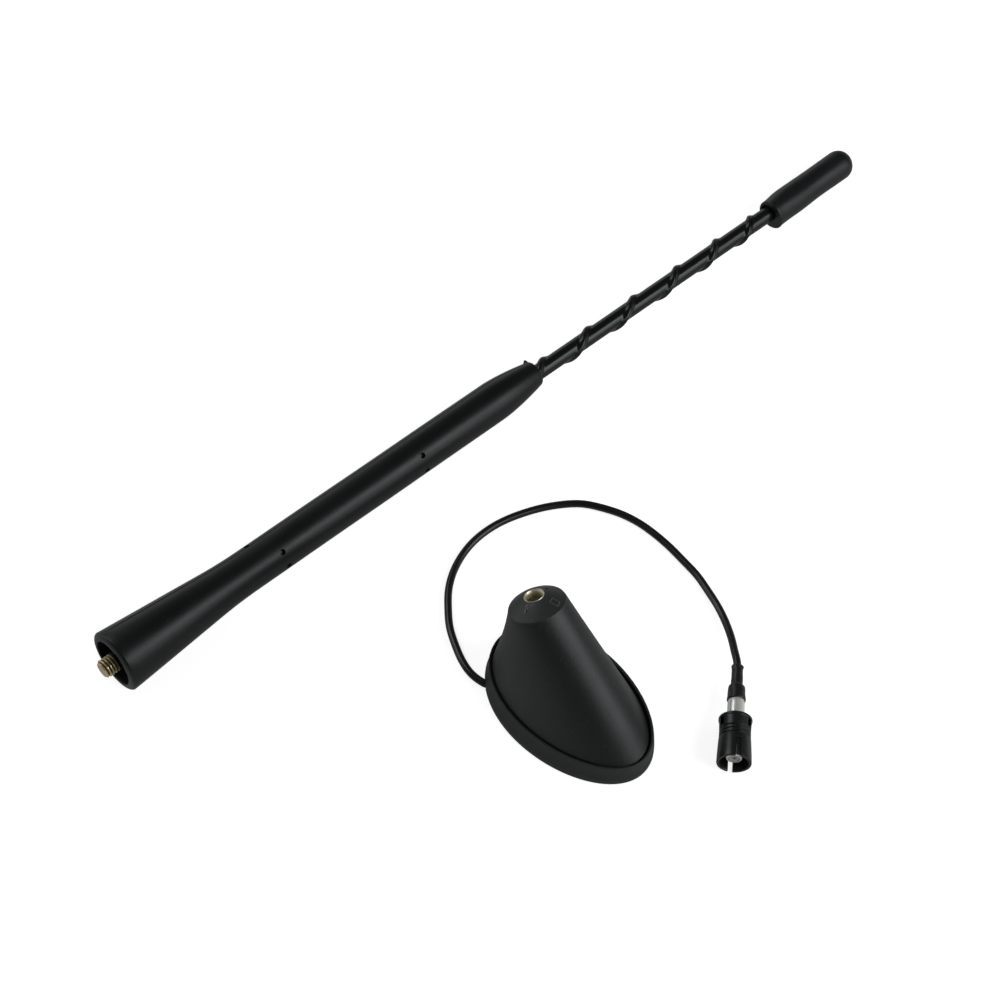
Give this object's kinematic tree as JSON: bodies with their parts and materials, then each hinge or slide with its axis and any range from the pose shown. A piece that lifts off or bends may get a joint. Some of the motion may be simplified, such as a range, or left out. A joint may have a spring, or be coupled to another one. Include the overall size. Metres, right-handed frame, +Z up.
{
  "type": "car mast aerial",
  "caption": "Roof aerial for a car, mast unscrewed: flared sleeve with brass stud, helically ridged whip with soft cap, and oval dome base with leaning neck, seal, coax lead and plug.",
  "frame": {"origin": "centre of the roof bolt's hole at the boss's underside, in the plane of the seal's underside", "axes": "+Z up from the roof, +X towards the nose of the base (the neck leans back towards -X), +Y along the mast, from its stud to its tip, as it lies beside the base"},
  "size_m": [0.133, 0.2727, 0.0355],
  "materials": {
    "sleeve_rubber": "satin moulded",
    "jacket_rubber": "satin",
    "cap_rubber": "satin",
    "cover_plastic": "fine grain",
    "seal_rubber": "matt",
    "brass": "turned",
    "spring_brass": "rolled",
    "copper": "enamelled copper",
    "glass_fibre": "ground",
    "die_cast": "die-cast",
    "steel": "zinc plated",
    "nickel": "satin nickel plate",
    "board": "solder mask",
    "board_parts": "moulded",
    "lead_jacket": "semi-gloss",
    "shrink_plastic": "satin",
    "plug_plastic": "satin",
    "insulator": "moulded"
  },
  "bodies": {
    "root": {"mast_sleeve": "sleeve_rubber", "mast_stud": "brass", "whip_core": "glass_fibre", "loading_coil": "copper", "radiator_wire": "copper", "whip_jacket": "jacket_rubber", "tip_cap": "cap_rubber", "base_cover": "cover_plastic", "mast_socket": "brass", "base_seal": "seal_rubber", "base_plate": "die_cast", "plate_screws": "steel", "circuit_board": "board", "board_parts": "board_parts", "board_screws": "steel", "contact_strip": "spring_brass", "cable_clamp": "steel", "lead_tail": "lead_jacket", "lead_cable": "lead_jacket", "shrink_sleeve": "shrink_plastic", "crimp_ferrule": "nickel", "plug_body": "nickel", "plug_shell": "plug_plastic", "plug_insulator": "insulator", "plug_pin": "spring_brass"}
  },
  "joints": []
}
